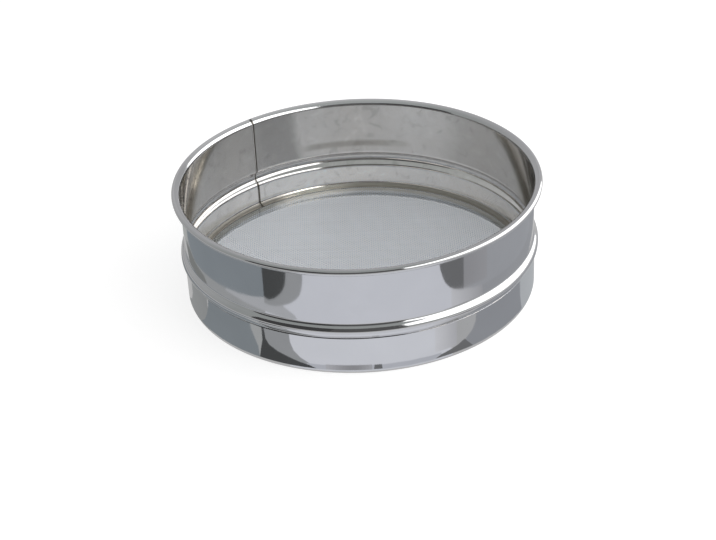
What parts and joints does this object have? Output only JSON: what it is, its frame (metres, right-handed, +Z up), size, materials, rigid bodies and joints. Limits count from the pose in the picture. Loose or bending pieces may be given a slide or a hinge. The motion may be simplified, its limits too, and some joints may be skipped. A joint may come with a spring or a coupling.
{
  "type": "tamis drum sieve",
  "caption": "Round stainless drum sieve: rolled rim, swaged bead, foot hoop pressed over the lower end, and fine woven wire cloth stretched between the hoops.",
  "frame": {"origin": "centre of the sieve's footprint, on the surface that it stands on", "axes": "+Z up along the drum's axis; the strip's seam is at the back left, 128 degrees round from +X towards +Y"},
  "size_m": [0.21, 0.21, 0.0658],
  "materials": {
    "polished_steel": "bright polished stainless sheet",
    "wire_steel": "drawn stainless wire, as woven"
  },
  "bodies": {
    "root": {"drum_hoop": "polished_steel", "foot_hoop": "polished_steel", "cloth_border": "wire_steel", "warp_wires": "wire_steel", "weft_wires": "wire_steel"}
  },
  "joints": []
}
